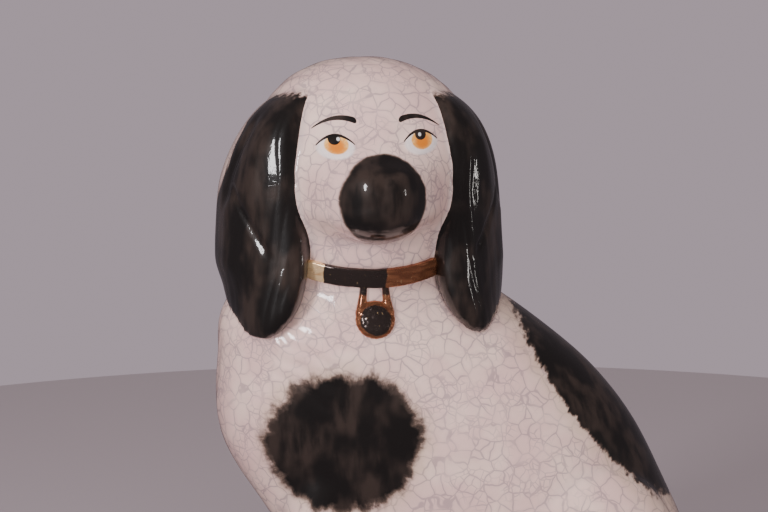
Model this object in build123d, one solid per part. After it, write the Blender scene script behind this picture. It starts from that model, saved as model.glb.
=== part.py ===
from build123d import *
from math import cos, exp, pi, radians, sin, sqrt, tan
import os

# A seated spaniel figurine, slip-cast in hollow earthenware, in millimetres.
# +Z is up. The body faces -X, and the head is turned to face -Y, the side that is shown.
# Left and right are the dog's own, for its head (left ear at +X) and for its body (left legs at -Y).
# Everything is modelled about the neck's axis, which stands at x = 0, y = 0 on the shelf at z = 0.
# The finished pieces are then moved together, so that the origin is the middle of the footprint's box.

# Overall sizes
NECK_HEIGHT = 214.0      # shelf to the luted neck joint, on the neck's axis
HEAD_HEIGHT = 86.0       # neck joint to the crown
BREAST_REACH = 71.5      # neck's axis to the front of the breast
RUMP_REACH = 166.0       # neck's axis to the back of the rump
TORSO_HALF_WIDTH = 55.0  # body's mid-plane to the flank
HEAD_HALF_WIDTH = 55.0   # head's mid-plane to the temple, under the ear
HEAD_FRONT = 49.0        # neck's axis to the brow
HEAD_BACK = 54.0         # neck's axis to the back of the skull
TEMPLE_DROP = 53.0       # crown to the widest level of the skull

# Casting
WALL = 4.5               # slip left on the mould
SLAB_THICKNESS = 5.0
VENT_RADIUS = 8.0        # hole that lets air and slip out of the casting

# Neck joint and collar
NECK_LEAN = 18.0         # degrees that the joint rises towards the nape
NECK_HALF_WIDTH = 44.0
NECK_HALF_DEPTH = 46.0
COLLAR_HEIGHT = 8.5
COLLAR_PROUD = 2.0       # relief of the band above the neck
COLLAR_SEAT = 0.8        # depth of the groove that the band is pressed into
COLLAR_EDGE = 0.8        # rounding of the band's edges

# Muzzle
MUZZLE_REACH = 75.0      # neck's axis to the tip of the nose
MUZZLE_HALF_WIDTH = 28.0
MUZZLE_DROP = 58.0       # crown to the muzzle's axis
BRIDGE_RISE = 17.0       # muzzle's axis to the slope between the eyes
CHIN_DROP = 20.0         # muzzle's axis to the chin

# Padlock
LOCK_HALF_WIDTH = 8.7
LOCK_HALF_HEIGHT = 7.6
LOCK_PROUD = 5.0         # chest to the front of the case
LOCK_DROP = 20.0         # collar's middle to the case's middle
SHACKLE_RADIUS = 1.7
SHACKLE_HALF_SPAN = 5.2  # middle of the bar to its sides, where it bends
SHACKLE_FOOT = 6.4       # the same, where it goes into the case

# Ears
EAR_TOP_DROP = 12.0      # crown to the top of the flap, inside the skull
EAR_LENGTH = 117.0
EAR_THICKNESS = 16.0     # half of the flap's section, most of it above the skull

# Legs, paws and tail
FORELEG_RADIUS = 16.0
FORELEG_HEIGHT = 118.0   # shelf to the top of the leg, inside the shoulder
FORELEG_FRONT = 47.0     # neck's axis to the front of the leg
FORELEG_SPREAD = 25.0    # body's mid-plane to the leg's axis
FORELEG_SLANT = 14.0     # how far the leg runs back into the shoulder
PAW_LENGTH = 46.0
PAW_WIDTH = 35.0
PAW_HEIGHT = 22.0
TOES = 4
TOE_REACH = 3.0          # paw to the tips of its toes
HAUNCH_RADIUS = 57.0
HAUNCH_HALF_WIDTH = 34.0
HAUNCH_PROUD = 10.0      # thigh above the flank
HIND_PAW_LENGTH = 62.0
TAIL_RADIUS = 12.0
TAIL_RISE = 80.0         # shelf to the tip of the tail

CROWN_HEIGHT = NECK_HEIGHT + HEAD_HEIGHT
HAUNCH_MIDDLE = RUMP_REACH - 1.22 * HAUNCH_RADIUS
HAUNCH_LIFT = 0.92 * HAUNCH_RADIUS

# The torso's outline, as shares of NECK_HEIGHT, BREAST_REACH, RUMP_REACH and TORSO_HALF_WIDTH:
# level, front, widest place along the body, back, half width.
TORSO_LINES = [
    (0.00, 0.42, 0.52, 0.950, 0.89),
    (0.12, 0.42, 0.54, 0.995, 0.96),
    (0.25, 0.50, 0.52, 1.000, 1.00),
    (0.39, 0.69, 0.42, 0.930, 0.99),
    (0.53, 0.94, 0.28, 0.840, 0.97),
    (0.65, 1.00, 0.12, 0.735, 0.94),
    (0.76, 0.98, 0.03, 0.590, 0.91),
    (0.85, 0.93, 0.00, 0.430, 0.88),
]

# One ear, as shares: level down the flap, front edge and back edge of the flap as (out, along)
# shares of HEAD_HALF_WIDTH and HEAD_FRONT, and thickness.
EAR_LINES = [
    (0.00, 0.42, -0.42, 0.52, 0.02, 0.25),
    (0.05, 0.56, -0.60, 0.68, 0.12, 0.50),
    (0.15, 0.66, -0.74, 0.86, 0.28, 0.80),
    (0.29, 0.68, -0.82, 1.00, 0.40, 0.95),
    (0.43, 0.67, -0.84, 1.07, 0.43, 1.00),
    (0.59, 0.64, -0.86, 1.12, 0.41, 1.00),
    (0.73, 0.64, -0.88, 1.15, 0.33, 0.94),
    (0.86, 0.70, -0.90, 1.13, 0.20, 0.81),
    (0.95, 0.80, -0.86, 1.08, 0.00, 0.60),
    (1.00, 0.90, -0.74, 1.02, -0.24, 0.34),
]

# The tail's middle line, as shares of RUMP_REACH and TAIL_RISE, then its radius as a share of TAIL_RADIUS.
TAIL_LINE = [
    (0.86, 0.08, 0.85),
    (0.90, 0.26, 1.00),
    (0.87, 0.47, 1.05),
    (0.79, 0.66, 0.95),
    (0.70, 0.83, 0.72),
    (0.64, 0.94, 0.45),
    (0.61, 0.99, 0.16),
]


def closed_curve(points):
    """A smooth closed wire through the points, evenly timed so that lofted rings match up."""
    times = [n / len(points) for n in range(len(points) + 1)]
    return Wire([Edge.make_spline(points, periodic=True, parameters=times)])


def ring(plane, minus_x, plus_x, minus_y, plus_y, bump=0.0, bump_half_width=1.0, count=24):
    """An oval that reaches four distances from the plane's origin, with a bump on its -Y side."""
    points = []
    for n in range(count):
        c, s = cos(2 * pi * n / count), sin(2 * pi * n / count)
        x = c * (plus_x if c > 0 else minus_x)
        y = s * (plus_y if s > 0 else minus_y)
        if s < 0:
            y -= bump * exp(-((abs(x) / bump_half_width) ** 2.4))
        points.append(plane.from_local_coords(Vector(x, y, 0)))
    return closed_curve(points)


def level_plane(x, z, lean=0.0):
    """A plane across the figure, its +Y side raised by lean degrees."""
    tilt = radians(lean)
    return Plane(origin=(x, 0, z), x_dir=(1, 0, 0), z_dir=(0, -sin(tilt), cos(tilt)))


def ball(centre, radii):
    """An ellipsoid with its axes along X, Y and Z."""
    return Pos(*centre) * scale(Sphere(1), by=tuple(radii))


def above(level, form):
    """The part of a form above a level."""
    size = 4 * CROWN_HEIGHT
    return form & Pos(0, 0, level + size / 2) * Box(size, size, size)


def neck_ring(along=0.0, grow=0.0, count=24):
    """The neck's section at the luted joint, moved along the neck or made larger all round."""
    width, depth = NECK_HALF_WIDTH + grow, NECK_HALF_DEPTH + grow
    plane = level_plane(0, NECK_HEIGHT, NECK_LEAN).offset(along)
    return ring(plane, width, width, depth, depth, count=count)


def torso_form(inset=0.0):
    """The torso's outer form, or the hollow inside it when inset by the wall."""
    rings = []
    for level, front, widest, back, half in TORSO_LINES:
        lean = NECK_LEAN * max(0.0, level - 0.65) / 0.35
        middle = widest * RUMP_REACH
        before = front * BREAST_REACH + middle - inset
        behind = back * RUMP_REACH - middle - inset
        beside = half * TORSO_HALF_WIDTH - inset
        rings.append(ring(level_plane(middle, level * NECK_HEIGHT, lean), before, behind, beside, beside))
    rings.append(neck_ring(-0.62 * COLLAR_HEIGHT, -inset))
    rings.append(neck_ring(0, -inset))
    form = Part() + Solid.make_loft(rings)
    for side in (-1, 1):
        form += haunch(side, inset)
    return form


def haunch(side, inset=0.0):
    """The thigh of the folded hind leg, which swells out of the flank. side is -1 for the near one."""
    middle_y = side * (TORSO_HALF_WIDTH + HAUNCH_PROUD - HAUNCH_HALF_WIDTH)
    radii = (HAUNCH_RADIUS - inset, HAUNCH_HALF_WIDTH - inset, HAUNCH_RADIUS - inset)
    return above(0, ball((HAUNCH_MIDDLE, middle_y, HAUNCH_LIFT), radii))


def muzzle_share(height, inset):
    """How much of the muzzle's length is there at a height: the bridge slopes, and the chin is full."""
    rise = height - (CROWN_HEIGHT - MUZZLE_DROP)
    if rise > 0:
        return exp(-((rise / (BRIDGE_RISE - inset)) ** 2))
    return exp(-((-rise / (CHIN_DROP - inset)) ** 4))


def skull_form(inset=0.0):
    """The head's outer form, or the hollow inside it when inset by the wall."""
    temple = CROWN_HEIGHT - TEMPLE_DROP
    dome = TEMPLE_DROP - inset
    count = 48
    levels = [(NECK_HEIGHT + share * (temple - NECK_HEIGHT), share) for share in (0.34, 0.5, 0.66, 0.82)]
    levels += [(temple + dome * sin(radians(turn)), 1.0) for turn in (0, 8, 17, 27, 38, 49, 60, 70, 79, 85.5)]
    rings = [neck_ring(along, -inset, count) for along in (0, 0.62 * COLLAR_HEIGHT)]
    for height, fullness in levels:
        swell = sin(pi / 2 * fullness)
        taper = (1 - (max(0.0, height - temple) / dome) ** 2.2) ** (1 / 2.2)
        lean = 0.92 * NECK_LEAN * (1 - fullness)
        half = (NECK_HALF_WIDTH + swell * (HEAD_HALF_WIDTH - NECK_HALF_WIDTH) - inset) * taper
        front = (NECK_HALF_DEPTH + swell * (HEAD_FRONT - NECK_HALF_DEPTH) - inset) * taper
        back = (NECK_HALF_DEPTH + swell * (HEAD_BACK - NECK_HALF_DEPTH) - inset) * taper
        length = MUZZLE_REACH - inset - front
        front_height = height - (front + length / 2) * tan(radians(lean))
        bump = length * muzzle_share(front_height, inset)
        plane = level_plane(0, height, lean)
        rings.append(ring(plane, half, half, front, back, bump, MUZZLE_HALF_WIDTH - inset, count))
    return Part() + Solid.make_loft(rings)


def collar_form():
    """The outside of the band round the neck, as a solid disc."""
    half = COLLAR_HEIGHT / 2
    disc = Part() + Solid.make_loft([neck_ring(-half, COLLAR_PROUD), neck_ring(half, COLLAR_PROUD)])
    return fillet(disc.edges().filter_by(GeomType.BSPLINE), COLLAR_EDGE)


def collar():
    """The band itself, pressed a little way into the neck, which covers the luted joint."""
    half = COLLAR_HEIGHT / 2
    return collar_form() - Solid.make_loft([neck_ring(-half, -COLLAR_SEAT), neck_ring(half, -COLLAR_SEAT)])


def ear(side):
    """One flap, modelled round the side of the skull and down over the shoulder. side is 1 for +X."""
    top = CROWN_HEIGHT - EAR_TOP_DROP
    rings = []
    for level, front_out, front_along, back_out, back_along, thick in EAR_LINES:
        front = Vector(side * front_out * HEAD_HALF_WIDTH, front_along * HEAD_FRONT)
        back = Vector(side * back_out * HEAD_HALF_WIDTH, back_along * HEAD_FRONT)
        middle = (front + back) * 0.5
        reach = (back - front).length / 2
        origin = (middle.X, middle.Y, top - level * EAR_LENGTH)
        depth = thick * EAR_THICKNESS
        rings.append(ring(Plane(origin=origin, x_dir=back - front, z_dir=(0, 0, 1)), reach, reach, depth, depth))
    return Part() + Solid.make_loft(rings)


def toes(tip_x, middle_y, width):
    """A row of rounded toes across the front of a paw."""
    radius = width / (2 * TOES) * 1.25
    row = Part()
    for n in range(TOES):
        across = (n + 0.5) / TOES - 0.5
        tip = tip_x + 5 * across ** 2 * radius
        centre = (tip + 1.6 * radius, middle_y + across * (width - radius), radius)
        row += ball(centre, (1.6 * radius, radius, 1.5 * radius))
    return row


def foreleg(side):
    """A straight front leg with its paw. side is -1 for the near one."""
    axis_x = FORELEG_RADIUS - FORELEG_FRONT
    axis_y = side * FORELEG_SPREAD
    rings = []
    for share, fullness in ((0.0, 0.98), (0.15, 0.93), (0.35, 0.96), (0.6, 1.12), (0.8, 1.24), (1.0, 1.16)):
        radius = fullness * FORELEG_RADIUS
        across = axis_y * (1 - 0.2 * share)
        plane = Plane(origin=(axis_x + share * FORELEG_SLANT, across, share * FORELEG_HEIGHT))
        rings.append(ring(plane, radius, radius, radius, radius, count=16))
    leg = Part() + Solid.make_loft(rings)
    paw_front = axis_x + FORELEG_RADIUS - PAW_LENGTH
    paw = ball(
        (paw_front + PAW_LENGTH / 2, axis_y, 0.32 * PAW_HEIGHT),
        (PAW_LENGTH / 2, PAW_WIDTH / 2, 0.68 * PAW_HEIGHT),
    )
    return above(0, leg + paw + toes(paw_front - TOE_REACH, axis_y, PAW_WIDTH))


def hind_paw(side):
    """A long hind foot that comes out from under the thigh. side is -1 for the near one."""
    tip_x = HAUNCH_MIDDLE - HAUNCH_RADIUS - 0.42 * HIND_PAW_LENGTH
    middle_y = side * (TORSO_HALF_WIDTH + HAUNCH_PROUD - 0.42 * PAW_WIDTH)
    foot = ball(
        (tip_x + HIND_PAW_LENGTH / 2, middle_y, 0.32 * PAW_HEIGHT),
        (HIND_PAW_LENGTH / 2, PAW_WIDTH / 2, 0.68 * PAW_HEIGHT),
    )
    return above(0, foot + toes(tip_x - TOE_REACH, middle_y, PAW_WIDTH))


def tail():
    """A feathered tail that curls from the rump up the near thigh, half sunk in it."""
    line = []
    for along, rise, _ in TAIL_LINE:
        x, z = along * RUMP_REACH, rise * TAIL_RISE
        off_x, off_z = (x - HAUNCH_MIDDLE) / HAUNCH_RADIUS, (z - HAUNCH_LIFT) / HAUNCH_RADIUS
        swell = HAUNCH_HALF_WIDTH * sqrt(max(0.0, 1 - off_x**2 - off_z**2))
        line.append(Vector(x, HAUNCH_HALF_WIDTH - TORSO_HALF_WIDTH - HAUNCH_PROUD - swell, z))
    rings = []
    for n, point in enumerate(line):
        way = line[min(n + 1, len(line) - 1)] - line[max(n - 1, 0)]
        radius = TAIL_LINE[n][-1] * TAIL_RADIUS
        rings.append(ring(Plane(origin=point, x_dir=(0, 1, 0), z_dir=way), radius, radius, radius, radius, count=12))
    return above(0, Part() + Solid.make_loft(rings))


def chest_face(torso, across, height):
    """Where the chest's surface is, across from the neck's axis and at a height."""
    probe = torso & Pos(across, -TORSO_HALF_WIDTH, height) * Box(0.4, 2 * TORSO_HALF_WIDTH, 0.4)
    return Vector(across, probe.bounding_box().min.Y, height)


def padlock(torso):
    """The relief padlock on the chest: its case, and the bar that goes up under the collar."""
    collar_front = level_plane(0, NECK_HEIGHT, NECK_LEAN).from_local_coords(Vector(0, -NECK_HALF_DEPTH, 0))
    case_level = collar_front.Z - LOCK_DROP
    bend_level = collar_front.Z - COLLAR_HEIGHT / 2 - SHACKLE_HALF_SPAN
    case = ball(chest_face(torso, 0, case_level), (LOCK_HALF_WIDTH, LOCK_PROUD, LOCK_HALF_HEIGHT))
    left_foot, right_foot = (chest_face(torso, side * SHACKLE_FOOT, case_level) for side in (-1, 1))
    left_bend, right_bend = (chest_face(torso, side * SHACKLE_HALF_SPAN, bend_level) for side in (-1, 1))
    top = chest_face(torso, 0, bend_level + SHACKLE_HALF_SPAN)
    bar = Part()
    for stretch in (
        Line(left_foot, left_bend), ThreePointArc(left_bend, top, right_bend), Line(right_bend, right_foot)
    ):
        start = Plane(origin=stretch @ 0, z_dir=stretch % 0)
        bar += sweep(start * Circle(SHACKLE_RADIUS), path=stretch)
    for corner in (left_bend, right_bend):
        bar += Pos(*corner) * Sphere(SHACKLE_RADIUS)
    return case, bar


def main():
    torso = torso_form()
    head = skull_form()
    band = collar()
    footprint = Pos(0, 0, SLAB_THICKNESS / 2) * Box(4 * RUMP_REACH, 4 * RUMP_REACH, SLAB_THICKNESS)
    vent = Pos(0.5 * RUMP_REACH, 0, 0) * Cylinder(VENT_RADIUS, 4 * SLAB_THICKNESS)
    pieces = {
        "base_slab": (torso & footprint) - vent,
        "torso_shell": above(SLAB_THICKNESS, torso) - torso_form(WALL) - band,
        "head_shell": head - skull_form(WALL) - band,
        "collar": band,
    }
    pieces["left_ear"] = ear(1) - collar_form() - head - torso
    pieces["right_ear"] = ear(-1) - collar_form() - head - torso
    case, bar = padlock(torso)
    pieces["padlock_case"] = case - torso
    pieces["padlock_shackle"] = bar - torso - case - band
    pieces["left_foreleg"] = foreleg(-1) - torso
    pieces["right_foreleg"] = foreleg(1) - torso
    pieces["left_hind_paw"] = hind_paw(-1) - torso
    pieces["right_hind_paw"] = hind_paw(1) - torso
    pieces["tail"] = tail() - torso

    boxes = [piece.bounding_box() for piece in pieces.values()]
    middle_x = (min(box.min.X for box in boxes) + max(box.max.X for box in boxes)) / 2
    middle_y = (min(box.min.Y for box in boxes) + max(box.max.Y for box in boxes)) / 2
    print(f"the neck's axis stands at {-middle_x:.2f}, {-middle_y:.2f}")
    os.makedirs("parts", exist_ok=True)
    for name, piece in pieces.items():
        export_step(Pos(-middle_x, -middle_y, 0) * piece, f"parts/{name}.step")


main()
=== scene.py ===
from math import cos, pi, radians, sin
import bmesh
import bpy
import numpy as np
from mathutils import Matrix, Vector
from mathutils.bvhtree import BVHTree


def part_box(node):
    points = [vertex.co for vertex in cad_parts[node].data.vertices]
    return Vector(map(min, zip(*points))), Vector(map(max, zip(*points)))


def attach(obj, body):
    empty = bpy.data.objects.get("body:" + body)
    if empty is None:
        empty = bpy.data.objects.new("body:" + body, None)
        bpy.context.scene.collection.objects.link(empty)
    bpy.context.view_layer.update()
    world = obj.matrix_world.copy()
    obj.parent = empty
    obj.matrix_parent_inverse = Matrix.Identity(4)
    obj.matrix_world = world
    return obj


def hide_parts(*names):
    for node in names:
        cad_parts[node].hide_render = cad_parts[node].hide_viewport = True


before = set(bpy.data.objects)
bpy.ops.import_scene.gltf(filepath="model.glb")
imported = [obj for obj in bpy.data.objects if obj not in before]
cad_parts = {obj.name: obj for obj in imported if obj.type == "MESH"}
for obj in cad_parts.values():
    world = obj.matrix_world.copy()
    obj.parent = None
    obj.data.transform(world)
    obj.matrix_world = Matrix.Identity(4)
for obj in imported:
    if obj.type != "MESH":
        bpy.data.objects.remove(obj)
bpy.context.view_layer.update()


# ---- The shelf, the light and the camera ------------------------------------------------------
# A plain pale shelf, one tall window light from the left front, and weaker light from above, the
# front, the right and behind. The camera looks at the turned face from a little left and above.
MM = 0.001
EYE_AZIMUTH, EYE_ELEVATION = radians(-8), radians(8)
EYE_DISTANCE = 0.90
AIM_HEIGHT = 0.68            # share of the crown's height that the camera aims at
AIM_ASIDE = 10.2 * MM        # and how far to the right of the neck's axis
collar_low, collar_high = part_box("collar")
neck = (collar_low + collar_high) / 2          # the neck's axis runs up through here
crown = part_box("head_shell")[1].z
back = Vector((
    sin(EYE_AZIMUTH) * cos(EYE_ELEVATION),
    -cos(EYE_AZIMUTH) * cos(EYE_ELEVATION),
    sin(EYE_ELEVATION),
))
across = Vector((cos(EYE_AZIMUTH), sin(EYE_AZIMUTH), 0))
aim = Vector((neck.x, neck.y, AIM_HEIGHT * crown)) + AIM_ASIDE * across
camera = bpy.data.objects.new("camera", bpy.data.cameras.new("camera"))
bpy.context.collection.objects.link(camera)
camera.location = aim + EYE_DISTANCE * back
camera.rotation_mode = "QUATERNION"
camera.rotation_quaternion = (-back).to_track_quat("-Z", "Y")
camera.data.lens = 87.2
camera.data.clip_start = 0.01
bpy.context.scene.camera = camera


def soft_light(name, place, size, power, tint, mirrored=True):
    """An area light aimed at the figure's chest, mirrored in the glaze or only lighting it."""
    lamp = bpy.data.lights.new(name, "AREA")
    lamp.shape = "RECTANGLE"
    lamp.size, lamp.size_y = size
    lamp.energy = power
    lamp.color = tint
    holder = bpy.data.objects.new(name, lamp)
    bpy.context.collection.objects.link(holder)
    holder.location = aim + Vector(place)
    holder.rotation_mode = "QUATERNION"
    holder.rotation_quaternion = Vector(place).to_track_quat("Z", "Y")
    holder.visible_glossy = mirrored


soft_light("window", (-1.10, -1.00, 0.45), (0.26, 0.62), 17, (1.0, 0.98, 1.0))
soft_light("ceiling", (-0.25, -0.75, 1.40), (1.3, 1.1), 23, (1.0, 0.965, 0.955), mirrored=False)
soft_light("front", (0.15, -1.40, -0.10), (1.0, 0.6), 12, (1.0, 0.965, 0.96), mirrored=False)
soft_light("room", (1.50, -0.45, 0.05), (0.05, 0.26), 0.8, (1.0, 0.95, 0.91))
soft_light("behind", (0.4, 1.5, 0.9), (1.2, 0.8), 8, (1.0, 0.97, 0.95), mirrored=False)

world = bpy.data.worlds.new("room")
bpy.context.scene.world = world
world.use_nodes = True
lit_air = world.node_tree.nodes["Background"]
lit_air.inputs["Color"].default_value = (0.83, 0.685, 0.77, 1)
seen = world.node_tree.nodes.new("ShaderNodeLightPath")
wall_or_light = world.node_tree.nodes.new("ShaderNodeMapRange")
wall_or_light.inputs["To Min"].default_value = 0.14      # as light on the figure
wall_or_light.inputs["To Max"].default_value = 0.50      # as the pale wall behind it
world.node_tree.links.new(seen.outputs["Is Camera Ray"], wall_or_light.inputs["Value"])
world.node_tree.links.new(wall_or_light.outputs["Result"], lit_air.inputs["Strength"])

SHELF_RADIUS, SHELF_SIDES = 0.75, 180
shelf_mesh = bpy.data.meshes.new("shelf")
shelf_mesh.from_pydata([
    (SHELF_RADIUS * cos(2 * pi * n / SHELF_SIDES), SHELF_RADIUS * sin(2 * pi * n / SHELF_SIDES), 0)
    for n in range(SHELF_SIDES)
], [], [tuple(range(SHELF_SIDES))])
shelf = bpy.data.objects.new("shelf", shelf_mesh)
bpy.context.collection.objects.link(shelf)
shelf_paint = bpy.data.materials.new("shelf_paint")
shelf_paint.use_nodes = True
shelf_surface = shelf_paint.node_tree.nodes["Principled BSDF"]
shelf_surface.inputs["Base Color"].default_value = (0.37, 0.31, 0.335, 1)
shelf_surface.inputs["Roughness"].default_value = 0.75
shelf_mesh.materials.append(shelf_paint)
shelf.visible_glossy = False     # its far edge would be a hard line in the glaze of the nose


# ---- The cast body ----------------------------------------------------------------------------
# Torso, thighs, forelegs, hind feet and tail, cast and pressed in white earthenware and luted
# together. Slip and glaze run over the joins, so they show as soft creases in one skin.
BODY_GRAIN = 1.43 * MM       # spacing of the skin's points
CREASE_ROUNDS = 40
NECK_LEAN = radians(18)
VENT_BACK = 83 * MM          # neck's axis to the vent in the sole
VENT_RADIUS, WELL_DEPTH, WELL_WALL = 8 * MM, 24 * MM, 2.5 * MM
SOLE_LIFT = 0.3 * MM         # the glazed skin stops this far above the shelf
LOCK_DEPTH = 0.75 * MM
PAW_MIDDLE = {"right_foreleg": 25.0, "right_hind_paw": 50.3}     # mid-plane to each paw's middle, in mm
TOE_PITCH = 7.4              # from here on, the painter's sizes are in millimetres
CHEST_PATCH_U, CHEST_PATCH_Z = -14.2, 122.5
CHEST_PATCH_HALF_WIDTH, CHEST_PATCH_HALF_HEIGHT = 35.5, 33
BACK_PATCH_U, BACK_PATCH_Z = 107.5, 130.5
BACK_RUN, BACK_DROP = 0.624, 0.782       # the slope of the back, as a direction
BACK_PATCH_HALF_LENGTH, BACK_PATCH_HALF_DEPTH, BACK_PATCH_OFF = 66, 20, 11
CRACK_CELL, FINE_CRACK_CELL = 7.4, 4.4
CRACK_BEND = 4.2             # how far the crackle's lines wander


def node_mesh(node):
    """A CAD node's corners and triangles."""
    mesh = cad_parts[node].data
    corners = np.empty(len(mesh.vertices) * 3)
    mesh.vertices.foreach_get("co", corners)
    mesh.calc_loop_triangles()
    faces = np.empty(len(mesh.loop_triangles) * 3, np.int32)
    mesh.loop_triangles.foreach_get("vertices", faces)
    return corners.reshape(-1, 3).tolist(), faces.reshape(-1, 3).tolist()


def turned(profile, middle, lean=0.0, sides=48):
    """A closed solid turned from a profile of (radius, height) that starts and ends on the axis."""
    tilt = Matrix.Rotation(lean, 3, "X")
    rims = profile[1:-1]
    corners, faces = [], []
    for radius, height in rims:
        for n in range(sides):
            turn = 2 * pi * n / sides
            corners.append(middle + tilt @ Vector((radius * cos(turn), radius * sin(turn), height)))
    for level in range(len(rims) - 1):
        for n in range(sides):
            one, other = level * sides + n, level * sides + (n + 1) % sides
            faces.append((one, other, other + sides, one + sides))
    corners.append(middle + tilt @ Vector((0, 0, profile[0][1])))
    corners.append(middle + tilt @ Vector((0, 0, profile[-1][1])))
    last = (len(rims) - 1) * sides
    for n in range(sides):
        after = (n + 1) % sides
        faces.append((len(corners) - 2, after, n))
        faces.append((len(corners) - 1, last + n, last + after))
    return [tuple(corner) for corner in corners], faces


def luted_skin(name, solids, grain):
    """One closed outer skin round several overlapping or touching solids."""
    corners, faces = [], []
    for points, polygons in solids:
        start = len(corners)
        corners += points
        faces += [tuple(i + start for i in polygon) for polygon in polygons]
    mesh = bpy.data.meshes.new(name)
    mesh.from_pydata(corners, [], faces)
    lump = bpy.data.objects.new(name, mesh)
    bpy.context.collection.objects.link(lump)
    slip = lump.modifiers.new("slip", "REMESH")
    slip.mode = "VOXEL"
    slip.voxel_size = grain
    lump.data = bpy.data.meshes.new_from_object(lump.evaluated_get(bpy.context.evaluated_depsgraph_get()))
    lump.modifiers.clear()
    lump.data.name = name
    keep_outer_skin(lump.data)
    lump.data.polygons.foreach_set("use_smooth", np.ones(len(lump.data.polygons), bool))
    return lump


def keep_outer_skin(mesh):
    """Deletes the walls of the hollow, which are islands of their own inside the largest one."""
    skin = bmesh.new()
    skin.from_mesh(mesh)
    unseen, islands = set(skin.verts), []
    while unseen:
        island, front = set(), [unseen.pop()]
        while front:
            vert = front.pop()
            island.add(vert)
            for edge in vert.link_edges:
                other = edge.other_vert(vert)
                if other in unseen:
                    unseen.discard(other)
                    front.append(other)
        islands.append(island)
    islands.sort(key=len)
    for island in islands[:-1]:
        bmesh.ops.delete(skin, geom=list(island), context="VERTS")
    skin.to_mesh(mesh)
    skin.free()


def column(data, field, width, kind=float):
    """One property of all of a mesh's points or edges, as a table."""
    values = np.empty(len(data) * width, kind)
    data.foreach_get(field, values)
    return values.reshape(-1, width)


def neighbour_mean(values, edges):
    """The mean of each point's neighbours, for a table of one or more columns."""
    one, other = edges.T
    count = np.bincount(one, minlength=len(values)) + np.bincount(other, minlength=len(values))
    sums = [
        np.bincount(one, values[other, n], len(values)) + np.bincount(other, values[one, n], len(values))
        for n in range(values.shape[1])
    ]
    return np.stack(sums, 1) / count[:, None]


def sponge(mesh, rounds, amount=1.0, shrink=False):
    """Wipes the skin smooth, as a damp sponge does, more where amount is near 1."""
    points = column(mesh.vertices, "co", 3)
    edges = column(mesh.edges, "vertices", 2, np.int32)
    share = np.broadcast_to(amount, len(points))[:, None]
    for _ in range(rounds):
        points += 0.5 * share * (neighbour_mean(points, edges) - points)
        if not shrink:
            points -= 0.51 * share * (neighbour_mean(points, edges) - points)
    mesh.vertices.foreach_set("co", points.ravel())
    mesh.update()


def creases(mesh, spread, sharpness):
    """How deeply each point lies in a crease, from 0 to 1, spread out over its neighbours."""
    points = column(mesh.vertices, "co", 3)
    edges = column(mesh.edges, "vertices", 2, np.int32)
    normals = column(mesh.vertices, "normal", 3)
    bend = ((neighbour_mean(points, edges) - points) * normals).sum(1)[:, None]
    for _ in range(4):
        bend = neighbour_mean(bend, edges)
    depth = np.clip(bend / sharpness, 0, 1)
    for _ in range(spread):
        depth = np.maximum(depth, neighbour_mean(depth, edges))
    return depth[:, 0]


def rise(value, low, high):
    """0 up to low, 1 from high on and smooth between; high may be less than low."""
    share = np.clip((value - low) / (high - low), 0, 1)
    return share * share * (3 - 2 * share)


def wander(along, other, seed):
    """A gentle waver between about -1 and 1, for anything that a hand models or draws."""
    return (
        np.sin(along * 1.0 + 0.7 * other + seed)
        + 0.6 * np.sin(along * 2.3 - 1.1 * other + 2.1 * seed)
        + 0.35 * np.sin(along * 4.1 + 2.3 * other + 3.7 * seed)
    ) / 1.6


def hair_locks(across, along, width, length, seed):
    """Relief of combed locks: round ridges, with a narrow groove at each side, from 0 to 1."""
    shift = 0.55 * wander(along / length, across / (3 * width), seed)
    turn = pi * (across / width + shift)
    ridge = 1 - np.abs(np.cos(turn)) ** 3
    fine = 1 - np.abs(np.cos(2.6 * turn + 1.3 * wander(along / length, across / width, seed + 2))) ** 2
    return ridge * 0.75 + fine * 0.25


def model_relief(mesh, height):
    """Moves each point along its normal by a height in metres."""
    points = column(mesh.vertices, "co", 3)
    points += column(mesh.vertices, "normal", 3) * height[:, None]
    mesh.vertices.foreach_set("co", points.ravel())
    mesh.update()


def nearness(mesh, node, reach):
    """Each point's distance to a CAD node's surface, or reach where that is further."""
    tree = BVHTree.FromPolygons(*node_mesh(node))
    found = (tree.find_nearest(vert.co, reach)[3] for vert in mesh.vertices)
    return np.array([reach if gap is None else gap for gap in found])


def note(mesh, name, values):
    """Keeps a value for each point, in millimetres, for the glaze to read."""
    mesh.attributes.new(name, "FLOAT", "POINT").data.foreach_set("value", values / MM)


def neck_plug(along):
    """A disc that closes the neck's opening, so that the hollow isn't open to the outside."""
    middle = neck + along * Vector((0, -sin(NECK_LEAN), cos(NECK_LEAN)))
    half = 1.5 * MM
    return turned([(0, -half), (42 * MM, -half), (42 * MM, half), (0, half)], middle, NECK_LEAN)


vent = Vector((neck.x + VENT_BACK, neck.y, 0))
well = turned([
    (0, WELL_DEPTH), (VENT_RADIUS, WELL_DEPTH), (VENT_RADIUS, 1 * MM), (VENT_RADIUS + WELL_WALL, 1 * MM),
    (VENT_RADIUS + WELL_WALL, WELL_DEPTH + WELL_WALL), (0, WELL_DEPTH + WELL_WALL),
], vent)
BODY_NODES = (
    "torso_shell", "base_slab", "left_foreleg", "right_foreleg", "left_hind_paw", "right_hind_paw", "tail"
)
body = luted_skin(
    "cast_body", [node_mesh(node) for node in BODY_NODES] + [neck_plug(-4 * MM), well], BODY_GRAIN
)
skin = body.data
sponge(skin, 4)
above_sole = rise(column(skin.vertices, "co", 3)[:, 2], 1.5 * MM, 6 * MM)
sponge(skin, CREASE_ROUNDS, creases(skin, 3, 0.05 * BODY_GRAIN) * above_sole, shrink=True)
sponge(skin, 3)

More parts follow.
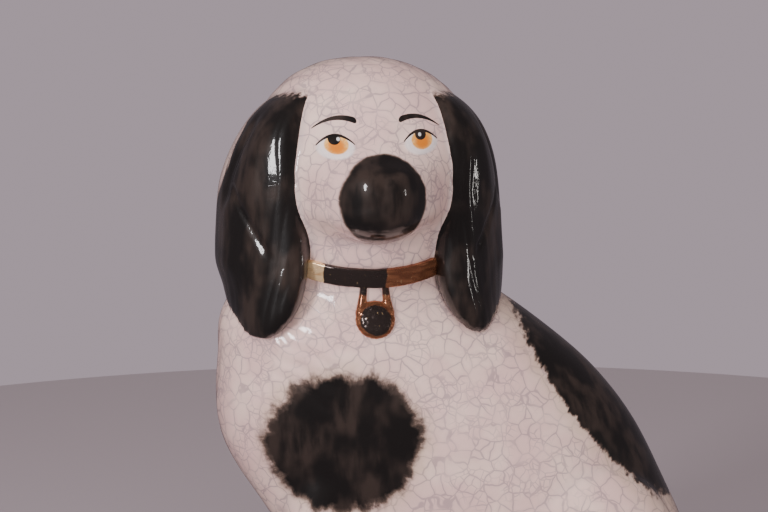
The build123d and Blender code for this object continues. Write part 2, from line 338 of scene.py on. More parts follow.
u, w, z = ((column(skin.vertices, "co", 3) - np.array([neck.x, neck.y, 0])) / MM).T
facing = -column(skin.vertices, "normal", 3)[:, 1]
near_side = rise(facing, 0.0, 0.4)
tail_gap = nearness(skin, "tail", 8 * MM) / MM
torso_gap = nearness(skin, "torso_shell", 6 * MM) / MM
on_tail = rise(torso_gap - tail_gap, -0.5, 2.0)
breast = near_side * np.exp(-(((u + 30) / 21) ** 2 + ((z - 167) / 30) ** 2) ** 2)
ruff = rise(-u, 30, 48) * rise(z, 95, 130) * (1 - rise(z, 185, 200)) * (1 - near_side)
model_relief(skin, (
    LOCK_DEPTH * breast * (hair_locks(0.62 * u + 0.78 * z, 0.78 * u - 0.62 * z, 8.0, 15, 1.0) - 0.5)
    + 0.7 * LOCK_DEPTH * ruff * (hair_locks(w + 0.1 * z, z, 9.0, 20, 4.0) - 0.5)
    + 1.2 * LOCK_DEPTH * on_tail * (hair_locks(0.8 * u - 0.35 * z, z + 0.3 * u, 5.5, 14, 2.0) - 0.4)
    + 0.22 * MM * wander(u / 17, z / 15, 5.0) * rise(z, 2, 12)
))
sponge(skin, 2)
points = column(skin.vertices, "co", 3)
points[:, 2] = np.maximum(points[:, 2], SOLE_LIFT)
skin.vertices.foreach_set("co", points.ravel())
skin.update()
note(skin, "tail", (torso_gap - tail_gap) * MM)
note(skin, "crease", creases(skin, 2, 0.03 * BODY_GRAIN) * MM)


class Sum:
    """A value inside a material. Arithmetic on it adds Math nodes to the material's tree."""

    def __init__(self, kit, socket):
        self.kit, self.socket = kit, socket

    def work(self, operation, *others):
        node = self.kit.add("ShaderNodeMath", dict(enumerate((self, *others))), operation=operation)
        return Sum(self.kit, node.outputs[0])

    def __add__(self, other):
        return self.work("ADD", other)

    def __sub__(self, other):
        return self.work("SUBTRACT", other)

    def __mul__(self, other):
        return self.work("MULTIPLY", other)

    def __truediv__(self, other):
        return self.work("DIVIDE", other)

    def __abs__(self):
        return self.work("ABSOLUTE")

    def __pow__(self, power):
        return self.work("POWER", power)

    def least(self, other):
        return self.work("MINIMUM", other)

    def most(self, other):
        return self.work("MAXIMUM", other)

    def rise(self, low, high, bottom=0.0, top=1.0):
        """bottom up to low, top from high on and smooth between; high may be less than low."""
        ends = (high, low, top, bottom) if low > high else (low, high, bottom, top)
        node = self.kit.add(
            "ShaderNodeMapRange", dict(enumerate((self, *ends))), interpolation_type="SMOOTHSTEP"
        )
        return Sum(self.kit, node.outputs[0])


class Glaze:
    """A material in the making, with short ways to add nodes to it."""

    def __init__(self, name):
        self.material = bpy.data.materials.new(name)
        self.material.use_nodes = True
        self.tree = self.material.node_tree
        self.surface = self.tree.nodes["Principled BSDF"]
        self.place = self.add("ShaderNodeTexCoord").outputs["Object"]
        centred = self.add(
            "ShaderNodeMapping",
            {"Vector": self.place, "Location": Vector((-neck.x, -neck.y, 0)) / MM, "Scale": (1 / MM,) * 3},
        )
        self.millimetres = centred.outputs[0]
        split = self.add("ShaderNodeSeparateXYZ", {0: self.millimetres})
        self.u, self.w, self.z = (Sum(self, socket) for socket in split.outputs)

    def add(self, kind, values={}, **settings):
        node = self.tree.nodes.new(kind)
        for key, value in settings.items():
            setattr(node, key, value)
        for key, value in values.items():
            value = value.socket if isinstance(value, Sum) else value
            if isinstance(value, bpy.types.NodeSocket):
                self.tree.links.new(value, node.inputs[key])
            else:
                node.inputs[key].default_value = value
        return node

    def vector(self, x, y, z):
        return self.add("ShaderNodeCombineXYZ", {0: x, 1: y, 2: z}).outputs[0]

    def cloud(self, size, place=None, detail=2.0, roughness=0.5):
        """Soft noise between about 0.25 and 0.75, with features of a size in millimetres."""
        node = self.add("ShaderNodeTexNoise", {
            "Vector": place or self.millimetres, "Scale": 1 / size, "Detail": detail, "Roughness": roughness
        })
        return Sum(self, node.outputs[0])

    def mix(self, share, one, other):
        one, other = ((*c, 1) if isinstance(c, tuple) else c for c in (one, other))
        node = self.add("ShaderNodeMix", {0: share, 6: one, 7: other}, data_type="RGBA")
        return node.outputs[2]

    def scaled(self, place, factors):
        return self.add("ShaderNodeVectorMath", {0: place, 1: factors}, operation="MULTIPLY").outputs[0]

    def crack_lines(self, size, thickness, place):
        """Lines between the cells of a net, 1 on the line, sizes in millimetres."""
        node = self.add(
            "ShaderNodeTexVoronoi", {"Vector": place, "Scale": 1 / size}, feature="DISTANCE_TO_EDGE"
        )
        return Sum(self, node.outputs["Distance"]).rise(0.9 * thickness / size, 0.25 * thickness / size)

    def noted(self, name):
        return Sum(self, self.add("ShaderNodeAttribute", attribute_name=name).outputs["Fac"])


def crackled_white(kit):
    """The colour of the tin-white glaze: pinkish cream, clouded, with stained crackle and painted shade in
    creases.
    """
    drift = kit.add("ShaderNodeTexNoise", {"Vector": kit.millimetres, "Scale": 1 / 7.0, "Detail": 1.0})
    moved = kit.add("ShaderNodeMapping", {"Vector": drift.outputs["Color"], "Location": (-0.5,) * 3})
    bent = kit.add(
        "ShaderNodeVectorMath", {0: kit.scaled(moved.outputs[0], (CRACK_BEND,) * 3), 1: kit.millimetres},
        operation="ADD",
    ).outputs[0]
    cream = kit.mix(kit.cloud(26, detail=3.0).rise(0.38, 0.64), (0.72, 0.48, 0.44), (0.80, 0.58, 0.51))
    cream = kit.mix(kit.cloud(9, detail=3.0).rise(0.45, 0.75) * 0.35, cream, (0.74, 0.47, 0.46))
    # painted shade: the glaze is darkened towards grey-brown in the creases
    cream = kit.mix(kit.noted("crease").rise(0.1, 1.0) * 0.55, cream, (0.46, 0.37, 0.35))
    large = kit.crack_lines(CRACK_CELL, 0.52, bent) * kit.cloud(12).rise(0.30, 0.58, 0.5, 1.0)
    patchy = kit.cloud(15, detail=1.0).rise(0.46, 0.62)
    small = kit.crack_lines(FINE_CRACK_CELL, 0.38, bent) * patchy * 0.75
    halo = kit.crack_lines(CRACK_CELL, 1.8, bent) * 0.15
    lines = large.most(small).most(halo)
    stained = kit.mix(lines * 0.66, cream, (0.29, 0.215, 0.235))
    specks = kit.add("ShaderNodeTexVoronoi", {"Vector": kit.millimetres, "Scale": 1 / 5.0}, feature="F1")
    pinholes = Sum(kit, specks.outputs["Distance"]).rise(0.07, 0.03) * kit.cloud(11).rise(0.56, 0.62)
    return kit.mix(pinholes * 0.6, stained, (0.16, 0.11, 0.08)), lines


def painted_black(kit, colour, share):
    """Black enamel laid on with a brush: thin and brown where its edge is feathered."""
    streaks = kit.cloud(5.5, kit.scaled(kit.millimetres, (1.0, 1.0, 0.22)), detail=4.0)
    thin = kit.mix(streaks.rise(0.35, 0.7), (0.13, 0.088, 0.070), (0.065, 0.044, 0.036))
    sweeps = kit.cloud(15, kit.scaled(kit.millimetres, (1.0, 1.0, 0.7)), detail=2.0)
    brushed = sweeps.rise(0.42, 0.62) * streaks.rise(0.25, 0.6)
    full = kit.mix(brushed, (0.007, 0.0058, 0.0052), (0.032, 0.022, 0.018))
    washed = kit.mix(share.rise(0.0, 0.5), colour, thin)
    return kit.mix(share.rise(0.3, 0.8), washed, full)


def fire(kit, colour, lines):
    """Puts the colour under a clear, slightly wavy coat of glaze."""
    waves = kit.cloud(14, detail=1.0) * 0.9 + kit.cloud(3.2, detail=1.0) * 0.12
    bump = kit.add("ShaderNodeBump", {
        "Height": waves - lines * 0.05, "Strength": 0.25, "Distance": 1.1 * MM
    }).outputs[0]
    kit.tree.links.new(colour, kit.surface.inputs["Base Color"])
    kit.tree.links.new(bump, kit.surface.inputs["Normal"])
    kit.tree.links.new(bump, kit.surface.inputs["Coat Normal"])
    kit.surface.inputs["Roughness"].default_value = 0.42
    kit.surface.inputs["IOR"].default_value = 1.45
    kit.surface.inputs["Specular IOR Level"].default_value = 0.2
    kit.surface.inputs["Coat Weight"].default_value = 1.0
    kit.surface.inputs["Coat Roughness"].default_value = 0.05
    return kit.material


kit = Glaze("body_glaze")
colour, lines = crackled_white(kit)
patch_u = (kit.u - CHEST_PATCH_U) / CHEST_PATCH_HALF_WIDTH
patch_z = (kit.z - CHEST_PATCH_Z) / CHEST_PATCH_HALF_HEIGHT
from_middle = (patch_u * patch_u + patch_z * patch_z).work("SQRT")
bearing = patch_z.work("ARCTAN2", patch_u)
strokes = kit.cloud(0.17, kit.vector(bearing, from_middle * 0.30, 0), detail=5.0, roughness=0.65)
outline = kit.cloud(0.7, kit.vector(bearing.work("COSINE"), bearing.work("SINE"), 0), detail=1.0)
smudges = kit.cloud(7.5, detail=4.0, roughness=0.6)
near_flank = kit.w.rise(-20, -32).most(kit.w.rise(20, 32))
ragged = (strokes - 0.5) * 0.26 + (outline - 0.5) * 0.30 + (smudges - 0.5) * 0.34
chest_patch = (from_middle + ragged).rise(1.17, 0.80) * near_flank
chest_halo = from_middle.rise(1.32, 0.92) * near_flank
slope_u, slope_z = kit.u - BACK_PATCH_U, kit.z - BACK_PATCH_Z
along_back = slope_u * BACK_RUN - slope_z * BACK_DROP
off_back = slope_u * BACK_DROP + slope_z * BACK_RUN
back_strokes = kit.cloud(4, kit.vector(along_back, off_back * 0.2, kit.w * 0.5), detail=4.0, roughness=0.65)
back_along = along_back / BACK_PATCH_HALF_LENGTH
back_off = (off_back - BACK_PATCH_OFF) / BACK_PATCH_HALF_DEPTH
back_reach = (back_along * back_along + back_off * back_off).work("SQRT")
back_patch = (back_reach + (back_strokes - 0.5) * 0.42).rise(1.06, 0.86)
tail_patch = (kit.noted("tail") + (strokes - 0.5) * 3).rise(-0.2, 0.8)
halo = chest_halo.most(back_reach.rise(1.5, 0.95))
colour = kit.mix(halo * kit.cloud(8, detail=3.0).rise(0.3, 0.7, 0.25, 0.6), colour, (0.50, 0.37, 0.26))
colour = painted_black(kit, colour, chest_patch.most(back_patch).most(tail_patch))
for node, toe_middle in PAW_MIDDLE.items():
    behind_toes = kit.u - (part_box(node)[0].x - neck.x) / MM
    toe = ((abs(kit.w) - toe_middle) / TOE_PITCH).work("WRAP", 0.5, -0.5)
    reach = (abs(abs(kit.w) - toe_middle) - 1.7 * TOE_PITCH).rise(0.3, -0.3)
    claw = (abs(toe) - 0.09).rise(0.05, -0.05) * behind_toes.rise(7.5, 6.0) * kit.z.rise(1.8, 2.6)
    claw = claw * reach * kit.z.rise(9.0, 8.0) * behind_toes.rise(-3, -1)
    colour = painted_black(kit, colour, claw)
colour = kit.mix(kit.z.rise(1.1, 0.7), colour, (0.52, 0.42, 0.31))
skin.materials.append(fire(kit, colour, lines))
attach(body, "root")
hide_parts(*[node for node in BODY_NODES if node != "base_slab"])


# ---- The cast head ----------------------------------------------------------------------------
# Skull, muzzle and both hanging ears, pressed in a mould of their own and luted at the neck. The
# ears, nose, brows and eyelids are black enamel and the eyes amber, all under the same clear glaze.
HEAD_GRAIN = 1.13 * MM
HEAD_NODES = ("head_shell", "left_ear", "right_ear")
HEAD_TILT = 0.042            # the face leans this much towards the dog's right
EYE_OUT, EYE_LEVEL = 19.7, 262.4         # from here on, the painter's sizes are in millimetres
LID_HALF_WIDTH, LID_RISE, LID_BOW = 8.2, 4.4, 4.0
BROW_INNER, BROW_LENGTH, BROW_LEVEL = 11.1, 19.4, 273.85
BROW_PEAK, BROW_BOW = 0.306, 11.2        # share of the length to its highest point, and its fall
BROW_TILT, BROW_HALF_THICKNESS = 0.012, 1.3
NOSE_U, NOSE_LEVEL = 1.0, 238.4
NOSE_HALF_WIDTH, NOSE_ABOVE, NOSE_BELOW = 19.4, 19.6, 21.8
head = luted_skin("cast_head", [node_mesh(node) for node in HEAD_NODES] + [neck_plug(4 * MM)], HEAD_GRAIN)
skin = head.data
sponge(skin, 4)
skull_gap = nearness(skin, "head_shell", 9 * MM) / MM
ear_gap = np.minimum(nearness(skin, "left_ear", 9 * MM), nearness(skin, "right_ear", 9 * MM)) / MM
on_ear = skull_gap - ear_gap
z = column(skin.vertices, "co", 3)[:, 2] / MM
top_join = rise(z, 262, 284)
sponge(skin, 30, creases(skin, 3, 0.05 * HEAD_GRAIN) * (0.35 + 0.65 * top_join), shrink=True)
sponge(skin, 3)

u, w, z = ((column(skin.vertices, "co", 3) - np.array([neck.x, neck.y, 0])) / MM).T
front = rise(-column(skin.vertices, "normal", 3)[:, 1], 0.05, 0.45) * rise(-w, 20, 34) * rise(-on_ear, -1, 1)
level = z - HEAD_TILT * u
out = np.abs(u - 0.3)
socket = np.exp(-(((out - 19) / 10.5) ** 2 + ((level - 263.5) / 8.0) ** 2))
ball_lift = np.sqrt(np.clip(1 - ((out - 19.6) / 8.4) ** 2 - ((level - 261.8) / 5.4) ** 2, 0, 1))
lid_level = EYE_LEVEL + LID_RISE - LID_BOW * ((out - EYE_OUT) / LID_HALF_WIDTH) ** 2
lid = np.exp(-(((level - lid_level - 0.6) / 1.1) ** 2)) * rise(1 - np.abs(out - EYE_OUT) / 10.5, 0, 0.3)
nostrils = np.exp(-(((np.abs(u) - 7.0) / 5.6) ** 2 + ((z - 246.5) / 7.5) ** 2)) * rise(-w, 58, 68)
philtrum = np.exp(-((u / 2.2) ** 2)) * rise(-w, 60, 68) * rise(z, 234, 240) * (1 - rise(z, 246, 252))
under_nose = np.exp(-(((z - 223) / 8) ** 2 + (u / 18) ** 2)) * rise(-w, 42, 56)
chin = np.exp(-(((z - 211) / 6) ** 2 + (u / 15) ** 2)) * rise(-w, 36, 48)
mouth = np.exp(-(((z - 236 + 0.010 * u * u) / 1.8) ** 2)) * rise(-w, 52, 62) * (1 - rise(np.abs(u), 14, 22))
flap = np.arctan2(w, np.abs(u)) * 58            # way round the side of the head, from front to back
top_lock = np.exp(-(((flap + 29 + 0.10 * (z - 245)) / 7.0) ** 2))
top_lock *= rise(z, 224, 236) * (1 - rise(z, 258, 276))
low_lock = np.exp(-(((flap + 13) / 5.5) ** 2)) * rise(z, 196, 206) * (1 - rise(z, 226, 238))
rim_valley = np.exp(-(((flap + 14 + 0.22 * (z - 250)) / 3.2) ** 2))
rim_valley *= rise(z, 226, 238) * (1 - rise(z, 268, 280))
parting = np.exp(-(((0.81 * (flap + 27) - 0.58 * (z - 226)) / 1.7) ** 2))
parting *= rise(z, 207, 214) * (1 - rise(z, 238, 244))
strands = hair_locks(flap + 0.12 * (z - 240), z + 4 * np.sign(u), 6.5, 30, 3.0) - 0.5
front_strands = strands * (0.25 + 0.75 * rise(-flap, 34, 42))
ear_share = rise(on_ear, 0.5, 3.5) * (1 - 0.7 * top_join)
right_spread = rise(-u, 20, 40) * rise(flap, -42, -15) * rise(z, 190, 205) * (1 - rise(z, 236, 268))
temple = rise(z, 262, 282) * (1 - rise(on_ear, -1, 2)) * (1 - front)
model_relief(skin, MM * (
    front * (-0.75 * socket + 0.85 * ball_lift + 0.38 * lid * (1 - ball_lift))
    + front * (nostrils - 0.35 * philtrum - 0.12 * mouth)
    + ear_share * (1.2 * top_lock + 0.9 * low_lock - 1.3 * rim_valley - 1.2 * parting + 0.5 * front_strands)
    + 2.4 * rise(on_ear, 0.5, 5) * right_spread
    + 1.2 * front * chin + 5.0 * under_nose * rise(-on_ear, -1, 1)
    + 0.22 * wander(u / 15, z / 13, 6.0)
    + 0.25 * temple * (hair_locks(0.7 * u + 0.5 * w, z, 8, 20, 7.0) - 0.5)
))
sponge(skin, 2)
note(skin, "ear", on_ear * MM)
note(skin, "crease", creases(skin, 2, 0.03 * HEAD_GRAIN) * MM)

kit = Glaze("head_glaze")
colour, lines = crackled_white(kit)
ear_streaks = kit.cloud(4.5, kit.scaled(kit.millimetres, (1.0, 1.0, 0.12)), detail=3.0)
back_fade = kit.w - kit.u.rise(-10, 10, -8, 8) - kit.z.rise(250, 222, 0, 14) + (ear_streaks - 0.5) * 9
ear_paint = kit.noted("ear").rise(-0.1, 0.5) * back_fade.rise(3.5, -3.5)
ear_paint = ear_paint * (kit.z + (kit.cloud(2.5, detail=3.0) - 0.5) * 7).rise(286, 279)
front = kit.w.rise(-20, -30)
nose_u, above_nose = (kit.u - NOSE_U) / NOSE_HALF_WIDTH, kit.z - NOSE_LEVEL
nose_z = above_nose.most(0.0) / NOSE_ABOVE + above_nose.least(0.0) / NOSE_BELOW
nose_round = nose_u * nose_u + nose_z * nose_z
nose_bearing = nose_z.work("ARCTAN2", nose_u)
nose_strokes = kit.cloud(0.2, kit.vector(nose_bearing, nose_round * 0.3, 0), detail=3.0)
nose_edge = (nose_strokes - 0.5) * 0.06 + (kit.cloud(11, detail=1.0) - 0.5) * 0.08
nose_paint = (nose_round.work("SQRT") + nose_edge).rise(1.07, 0.93) * front
brow_along = (abs(kit.u - 1.1) - BROW_INNER) / BROW_LENGTH
brow_bow = brow_along - BROW_PEAK
brow_level = brow_bow * brow_bow * -BROW_BOW + BROW_LEVEL
brow_half = (brow_along.least(1.0).most(0.0) * -1 + 1) ** 0.7 * BROW_HALF_THICKNESS
brow_off = kit.z - kit.u * BROW_TILT - brow_level
past_end = brow_along.least(0.0) * BROW_LENGTH
brow_gap = (brow_off * brow_off + past_end * past_end).work("SQRT") - brow_half
brow_paint = brow_gap.rise(0.22, -0.22) * brow_along.rise(1.0, 0.92)
level = kit.z - kit.u * HEAD_TILT
lid_along = (abs(kit.u - 0.95) - EYE_OUT) / LID_HALF_WIDTH
lid_bow = lid_along * lid_along
lid_level = lid_bow * -LID_BOW + (EYE_LEVEL + LID_RISE)
lid_half = lid_bow * -0.30 + 0.60
lid_paint = (abs(level - lid_level) - lid_half).rise(0.16, -0.16) * lid_bow.rise(1.12, 0.98)
under_lid = (lid_level - level).rise(-0.1, 0.1)


def oval(out, height, half_width, half_height, feather, gaze=0.0):
    """A painted oval on each side of the face: 1 inside it and under the upper lid."""
    across = (abs(kit.u - gaze) - out) / half_width
    up = (level - height) / half_height
    return (across * across + up * up).rise(1 + feather, 1 - feather) * under_lid * front


eye_white = oval(19.8, 261.4, 8.2, 5.0, 0.25, 1.0)
iris = oval(19.85, 262.7, 5.3, 4.1, 0.14, 1.45)
iris_heart = oval(19.85, 261.9, 3.6, 3.1, 0.8, 1.45)
pupil = oval(20.0, 265.2, 2.7, 2.5, 0.14, 0.8)
# the glint is a painted highlight on each pupil
glint = oval(18.9, 265.1, 0.75, 0.8, 0.5, 1.5)
colour = kit.mix(eye_white * 0.8, colour, (0.84, 0.75, 0.74))
amber = kit.mix(kit.cloud(1.6, detail=2.0).rise(0.4, 0.65), (0.84, 0.47, 0.16), (0.78, 0.34, 0.07))
amber = kit.mix(iris_heart, amber, (0.66, 0.19, 0.015))
colour = kit.mix(iris, colour, amber)
black = (brow_paint.most(lid_paint) * front).most(pupil).most(nose_paint).most(ear_paint)
colour = painted_black(kit, colour, black)
# painted highlight: a pale grey spot on each pupil
colour = kit.mix(glint, colour, (0.70, 0.67, 0.66))
skin.materials.append(fire(kit, colour, lines))
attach(head, "root")
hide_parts(*HEAD_NODES)


# ---- The collar -------------------------------------------------------------------------------
# A raised band round the neck that hides the luted joint. It's part of the clay, painted over the
# fired glaze with a thin lustre of real gold, worn to copper and, in patches, brown-black. A painted
# reflection makes it bright gold towards the window light and brown-black across the front.
BAND_HEIGHT, BAND_THICKNESS = 9.3 * MM, 3.0 * MM
BAND_CORNER, BAND_WAVER = 0.9 * MM, 0.22 * MM
LOOP_POINTS = 180
CLEAR_OF_NECK = 100 * MM     # a place outside the band, to look in from
tilt = Matrix.Rotation(NECK_LEAN, 3, "X")
cad_band = BVHTree.FromPolygons(*node_mesh("collar"))
loop = []
for n in range(LOOP_POINTS):
    way = Vector((cos(2 * pi * n / LOOP_POINTS), sin(2 * pi * n / LOOP_POINTS), 0))
    outside = neck + tilt @ way * CLEAR_OF_NECK
    reach = CLEAR_OF_NECK - cad_band.ray_cast(outside, tilt @ -way)[3]
    loop.append(way * (reach - BAND_THICKNESS / 2))
loop_mesh = bpy.data.meshes.new("collar_loop")
loop_mesh.from_pydata(loop, [(n, (n + 1) % LOOP_POINTS) for n in range(LOOP_POINTS)], [])
collar = bpy.data.objects.new("gold_collar", loop_mesh)
bpy.context.collection.objects.link(collar)

band = bpy.data.node_groups.new("band", "GeometryNodeTree")
band.interface.new_socket("Path", in_out="INPUT", socket_type="NodeSocketGeometry")
for name in ("Height", "Thickness", "Corner", "Waver", "Lean"):
    band.interface.new_socket(name, in_out="INPUT", socket_type="NodeSocketFloat")
band.interface.new_socket("Middle", in_out="INPUT", socket_type="NodeSocketVector")
band.interface.new_socket("Finish", in_out="INPUT", socket_type="NodeSocketMaterial")
band.interface.new_socket("Band", in_out="OUTPUT", socket_type="NodeSocketGeometry")
given = band.nodes.new("NodeGroupInput")


def step(kind, inputs={}, **settings):
    """A node in the band's tree, fed by plain values or by other nodes' outputs."""
    node = band.nodes.new(kind)
    for key, value in settings.items():
        setattr(node, key, value)
    for key, value in inputs.items():
        if isinstance(value, bpy.types.NodeSocket):
            band.links.new(value, node.inputs[key])
        else:
            node.inputs[key].default_value = value
    return node


path = step("GeometryNodeMeshToCurve", {"Mesh": given.outputs["Path"]})
upright = step("GeometryNodeSetCurveNormal", {"Curve": path.outputs[0]}, mode="Z_UP")
section = step("GeometryNodeCurvePrimitiveQuadrilateral", {
    "Width": given.outputs["Thickness"], "Height": given.outputs["Height"]
})
rounded = step(
    "GeometryNodeFilletCurve",
    {"Curve": section.outputs[0], "Radius": given.outputs["Corner"], "Count": 5},
    mode="POLY",
)
swept = step("GeometryNodeCurveToMesh", {"Curve": upright.outputs[0], "Profile Curve": rounded.outputs[0]})
ripple = step("ShaderNodeTexNoise", {"Scale": 95.0, "Detail": 2.0}, noise_dimensions="3D")
centred = step("ShaderNodeMath", {0: ripple.outputs[0], 1: 0.5}, operation="SUBTRACT")
depth = step("ShaderNodeMath", {0: centred.outputs[0], 1: given.outputs["Waver"]}, operation="MULTIPLY")
depth = step("ShaderNodeMath", {0: depth.outputs[0], 1: 4.0}, operation="MULTIPLY")
outward = step("GeometryNodeInputNormal")
push = step("ShaderNodeVectorMath", {0: outward.outputs[0], "Scale": depth.outputs[0]}, operation="SCALE")
wavy = step("GeometryNodeSetPosition", {"Geometry": swept.outputs[0], "Offset": push.outputs[0]})
turn = step("ShaderNodeCombineXYZ", {"X": given.outputs["Lean"]})
placed = step("GeometryNodeTransform", {
    "Geometry": wavy.outputs[0], "Translation": given.outputs["Middle"], "Rotation": turn.outputs[0]
})
smooth = step("GeometryNodeSetShadeSmooth", {"Geometry": placed.outputs[0]})
real = step("GeometryNodeRealizeInstances", {"Geometry": smooth.outputs[0]})
painted = step("GeometryNodeSetMaterial", {
    "Geometry": real.outputs[0], "Material": given.outputs["Finish"]
})
result = band.nodes.new("NodeGroupOutput")
band.links.new(painted.outputs[0], result.inputs["Band"])


def gold_lustre(name, bright_reflection, dark_reflection):
    """Thin gold over dark glaze, with a painted reflection: the first function gives where it's bright
    gold, the second where it's brown-black, and both are broken by random patches of wear.

    Both are functions of the material in the making, which give a share from 0 to 1. Elsewhere the
    gold is rubbed down to a copper brown.
    """
    kit = Glaze(name)
    patches = (kit.cloud(6, detail=3.0) - 0.5) * 1.1
    streaks = kit.cloud(2.4, kit.scaled(kit.millimetres, (0.3, 0.3, 1.6)), detail=3.0)
    gold = kit.mix(streaks.rise(0.45, 0.7), (0.93, 0.66, 0.38), (0.66, 0.36, 0.16))
    copper = kit.mix(streaks.rise(0.35, 0.62), (0.46, 0.19, 0.095), (0.28, 0.11, 0.058))
    # painted reflection: brown-black where the given dark share is high, broken by random patches of wear
    colour = kit.mix((dark_reflection(kit) + patches).rise(0.4, 0.65), copper, (0.070, 0.053, 0.048))
    bright_gold_and_reflection = (bright_reflection(kit) + patches).rise(0.45, 0.6)
    # painted reflection: bright gold where the given bright share is high, broken by random patches of wear
    colour = kit.mix(bright_gold_and_reflection, colour, gold)
    flecks = kit.cloud(1.5, kit.scaled(kit.millimetres, (1.3, 1.3, 0.45)), detail=2.0).rise(0.69, 0.73)
    colour = kit.mix(flecks, colour, (0.95, 0.66, 0.34))
    rub = kit.cloud(3.5, detail=4.0) + streaks * 0.5
    bump = kit.add("ShaderNodeBump", {
        "Height": streaks * 0.6 + kit.cloud(5, detail=1.0), "Strength": 0.35, "Distance": 0.35 * MM
    }).outputs[0]
    kit.tree.links.new(colour, kit.surface.inputs["Base Color"])
    kit.tree.links.new(bump, kit.surface.inputs["Normal"])
    kit.tree.links.new(rub.rise(0.5, 1.0, 0.10, 0.30).socket, kit.surface.inputs["Roughness"])
    kit.tree.links.new((bright_gold_and_reflection * -0.25 + 0.75).socket, kit.surface.inputs["Metallic"])
    return kit.material


collar_gold = gold_lustre(
    "collar_gold",
    # painted reflection: bright gold on the side towards the window light, and brighter at the back
    bright_reflection=lambda kit: kit.u.rise(-21, -26).most(kit.w.rise(10, 30) * 0.6),
    # painted reflection: brown-black in the middle of the front
    dark_reflection=lambda kit: kit.u.rise(8, 2) * kit.w.rise(0, -20),
)
sweep = collar.modifiers.new("band", "NODES")
sweep.node_group = band
values = {
    "Height": BAND_HEIGHT, "Thickness": BAND_THICKNESS, "Corner": BAND_CORNER, "Waver": BAND_WAVER,
    "Lean": NECK_LEAN, "Middle": neck, "Finish": collar_gold,
}
for item in band.interface.items_tree:
    if item.in_out == "INPUT" and item.name in values:
        sweep[item.identifier] = values[item.name]
collar.data = bpy.data.meshes.new_from_object(collar.evaluated_get(bpy.context.evaluated_depsgraph_get()))
collar.modifiers.clear()
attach(collar, "root")
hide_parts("collar")


# ---- The padlock ------------------------------------------------------------------------------
# A small padlock in relief, hanging from the collar: a round case and two legs of its shackle,
# which splay out into it. It's pressed with the body and has the same gold lustre as the collar.
LEG_TOP_OUT, LEG_FOOT_OUT = 5.1 * MM, 6.6 * MM
LEG_TOP_RADIUS, LEG_FOOT_RADIUS = 1.7 * MM, 2.6 * MM
LEG_BEADS, LEG_FOOT_RISE = 26, 3 * MM    # the legs end this far above the case's middle
CASE_HALF_WIDTH, CASE_HALF_HEIGHT = 9.3 * MM, 8.4 * MM
CASE_RINGS = ((0, 1, 4.8), (0.30, 10, 4.3), (0.52, 16, 3.6), (0.76, 24, 2.3))  # share, beads, radius in mm
RIM_HALF_WIDTH, RIM_HALF_HEIGHT = 9.3, 8.6     # of the copper rim's outside, in mm
PADLOCK_GRAIN = 0.38 * MM
IN_FRONT = -200 * MM         # y of a place before the chest, to look back from
case_low, case_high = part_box("padlock_case")
bar_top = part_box("padlock_shackle")[1].z
case_middle = (case_low + case_high) / 2
chest = BVHTree.FromPolygons(
    [vert.co for vert in body.data.vertices], [tuple(face.vertices) for face in body.data.polygons]
)


def bead(x, z, radii):
    """An egg-shaped lump of clay on the chest's surface."""
    on_chest = chest.ray_cast(Vector((x, IN_FRONT, z)), Vector((0, 1, 0)))[0]
    profile = [(sin(pi * n / 16), -cos(pi * n / 16)) for n in range(17)]
    corners, faces = turned(profile, Vector((0, 0, 0)), sides=24)
    return [tuple(on_chest[n] + corner[n] * radii[n] for n in range(3)) for corner in corners], faces


lumps = []
for share, beads, radius in CASE_RINGS:
    for n in range(beads):
        out = share * CASE_HALF_WIDTH * cos(2 * pi * n / beads)
        up = share * CASE_HALF_HEIGHT * sin(2 * pi * n / beads)
        lumps.append(bead(case_middle.x + out, case_middle.z + up, (radius * MM,) * 3))
for side in (-1, 1):
    for n in range(LEG_BEADS):
        share = n / (LEG_BEADS - 1)
        radius = LEG_TOP_RADIUS + (LEG_FOOT_RADIUS - LEG_TOP_RADIUS) * share**1.6
        out = LEG_TOP_OUT + (LEG_FOOT_OUT - LEG_TOP_OUT) * share**1.5
        height = bar_top + (case_middle.z + LEG_FOOT_RISE - bar_top) * share
        lumps.append(bead(case_middle.x + side * out, height, (radius, 1.15 * radius, radius)))
padlock = luted_skin("gold_padlock", lumps, PADLOCK_GRAIN)
sponge(padlock.data, 24)
lock_u, lock_z = (case_middle.x - neck.x) / MM, case_middle.z / MM


def from_lock_middle(kit):
    """How far a point is from the case's middle, as a share of the way to its rim."""
    along, up = (kit.u - lock_u) / RIM_HALF_WIDTH, (kit.z - lock_z) / RIM_HALF_HEIGHT
    return (along * along + up * up).work("SQRT")


padlock.data.materials.append(gold_lustre(
    "padlock_gold",
    # painted reflection: a little more bright gold towards the bottom of the case
    bright_reflection=lambda kit: (kit.z - lock_z).rise(-5.5, -9.0) * 0.3,
    # painted reflection: brown-black in the middle of the case; also darker up the shackle's legs
    dark_reflection=lambda kit: from_lock_middle(kit).rise(0.95, 0.6).most((kit.z - lock_z).rise(9, 12) * 0.6),
))
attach(padlock, "root")
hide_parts("padlock_case", "padlock_shackle")


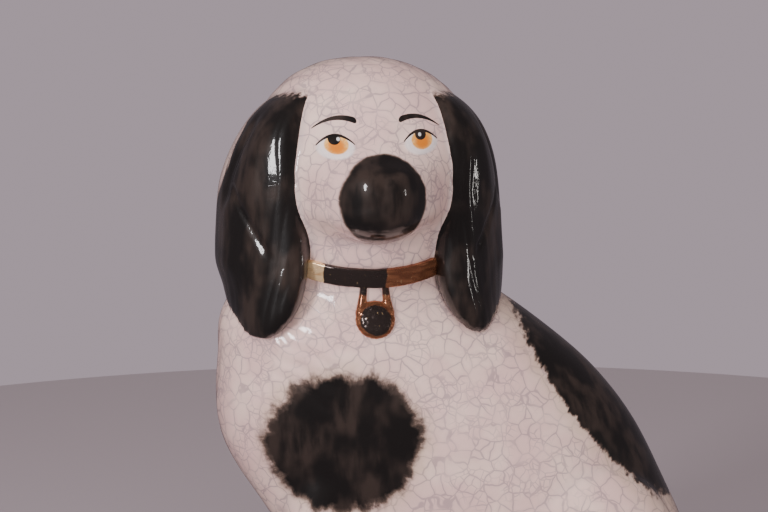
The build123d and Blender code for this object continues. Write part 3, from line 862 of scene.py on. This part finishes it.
# ---- The sole ---------------------------------------------------------------------------------
# The flat clay base that closes the casting, with the vent in it. The glaze is wiped off it before
# firing, so that the figure doesn't stick to the kiln shelf, and it stays bare, buff and gritty.
SOLE_THICKNESS, SOLE_INSET, SOLE_EDGE = 3 * MM, 1.6 * MM, 0.5 * MM
SOLE_POINTS = 240
EDGE_SHARE = 0.006           # width of the softened edges, as a share of the way across
INSIDE_SLAB, IN_FROM_VENT = 2.5 * MM, 1 * MM     # a place in the slab's clay, to look out from
cad_slab = BVHTree.FromPolygons(*node_mesh("base_slab"))
corners, faces = [], []
sole_profile = [
    (0, SOLE_EDGE), (0, SOLE_THICKNESS), (1, SOLE_THICKNESS), (1, SOLE_EDGE),
    (1 - EDGE_SHARE, 0), (EDGE_SHARE, 0),
]
for n in range(SOLE_POINTS):
    way = Vector((cos(2 * pi * n / SOLE_POINTS), sin(2 * pi * n / SOLE_POINTS), 0))
    start = vent + Vector((0, 0, INSIDE_SLAB)) + way * (VENT_RADIUS + IN_FROM_VENT)
    reach = VENT_RADIUS + IN_FROM_VENT + cad_slab.ray_cast(start, way)[3] - SOLE_INSET
    for share, height in sole_profile:
        corners.append(vent + way * (VENT_RADIUS + share * (reach - VENT_RADIUS)) + Vector((0, 0, height)))
ring_size = len(sole_profile)
for n in range(SOLE_POINTS):
    after = (n + 1) % SOLE_POINTS
    for k in range(ring_size):
        next_k = (k + 1) % ring_size
        faces.append((
            n * ring_size + k, n * ring_size + next_k, after * ring_size + next_k, after * ring_size + k
        ))
sole_mesh = bpy.data.meshes.new("bare_sole")
sole_mesh.from_pydata(corners, [], faces)
sole = bpy.data.objects.new("bare_sole", sole_mesh)
bpy.context.collection.objects.link(sole)
disc = bmesh.new()
disc.from_mesh(sole_mesh)
bmesh.ops.recalc_face_normals(disc, faces=disc.faces)
disc.to_mesh(sole_mesh)
disc.free()
kit = Glaze("bare_clay")
grit = kit.cloud(1.1, detail=4.0, roughness=0.7)
clay = kit.mix(grit.rise(0.35, 0.7), (0.44, 0.35, 0.26), (0.60, 0.50, 0.38))
clay = kit.mix(kit.cloud(22, detail=3.0).rise(0.45, 0.7) * 0.5, clay, (0.36, 0.27, 0.19))
bump = kit.add("ShaderNodeBump", {"Height": grit, "Strength": 0.5, "Distance": 0.3 * MM}).outputs[0]
kit.tree.links.new(clay, kit.surface.inputs["Base Color"])
kit.tree.links.new(bump, kit.surface.inputs["Normal"])
kit.surface.inputs["Roughness"].default_value = 0.9
sole_mesh.materials.append(kit.material)
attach(sole, "root")
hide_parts("base_slab")
